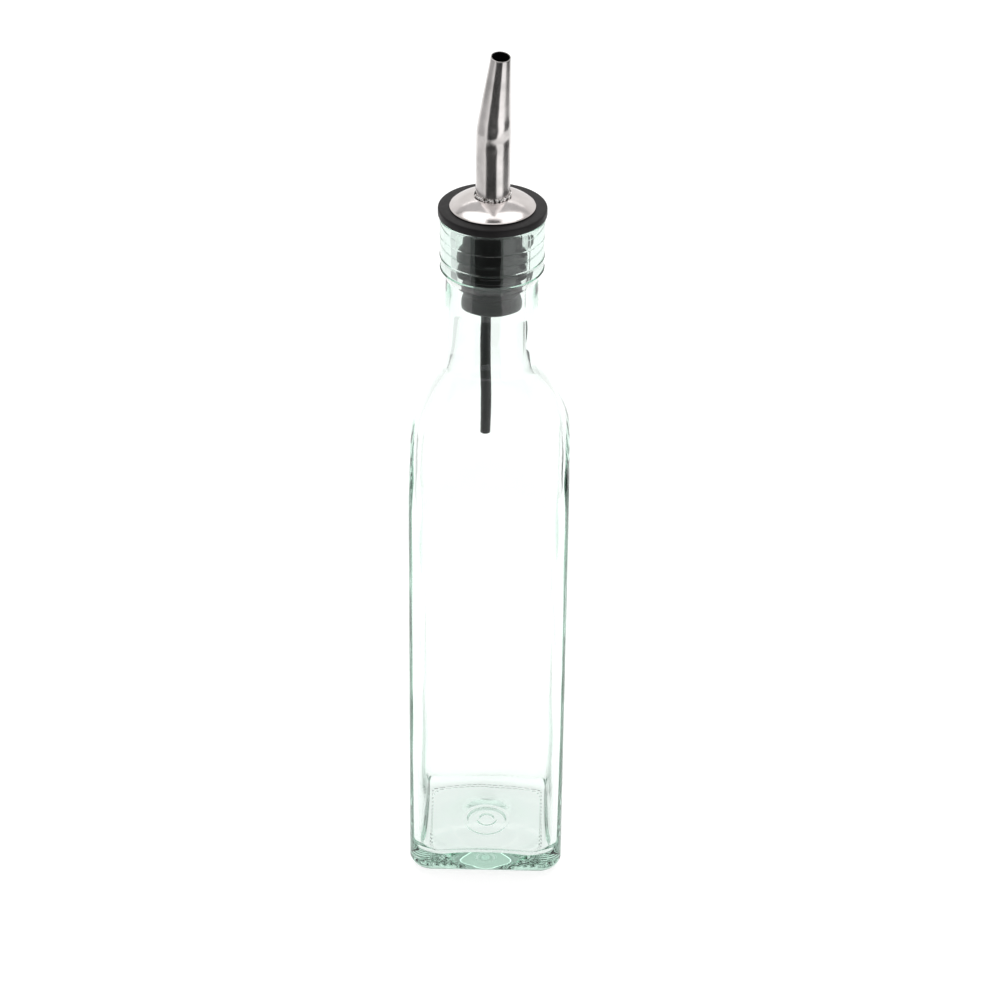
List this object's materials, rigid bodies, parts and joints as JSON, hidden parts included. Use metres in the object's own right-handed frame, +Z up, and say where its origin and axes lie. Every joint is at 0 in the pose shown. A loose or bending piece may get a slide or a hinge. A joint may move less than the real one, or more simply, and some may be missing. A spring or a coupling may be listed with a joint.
{
  "type": "glass oil bottle",
  "caption": "Square clear glass bottle for oil or vinegar, with a ribbed black stopper, a bent tapered steel pour spout and a vent tube.",
  "frame": {"origin": "centre of the base, on the surface the bottle stands on", "axes": "+Z up the bottle's axis to the mouth, -Y the side seen in front, +X to its right"},
  "size_m": [0.0474, 0.0474, 0.2677],
  "materials": {
    "clear_glass": "smooth, faintly green, slightly wavy inside",
    "black_rubber": "satin moulded",
    "black_plastic": "satin extruded",
    "brushed_steel": "drawn and lightly brushed along its length",
    "pressed_steel": "pressed, satin",
    "tin_solder": "beaded, bright"
  },
  "bodies": {
    "bottle": {"glass_bottle": "clear_glass"},
    "stopper": {"stopper": "black_rubber", "vent_tube": "black_plastic"},
    "spout": {"spout_tube": "brushed_steel", "dome_cap": "pressed_steel", "solder_ring": "tin_solder"}
  },
  "joints": [
    {"name": "stopper_lift", "type": "slide", "parent": "bottle", "child": "stopper", "axis": [0, 0, 1], "range_m": [0, 0.075]},
    {"name": "spout_turn", "type": "hinge", "parent": "stopper", "child": "spout", "pos_m": [0, 0, 0.2], "axis": [0, 0, 1], "continuous": true}
  ]
}
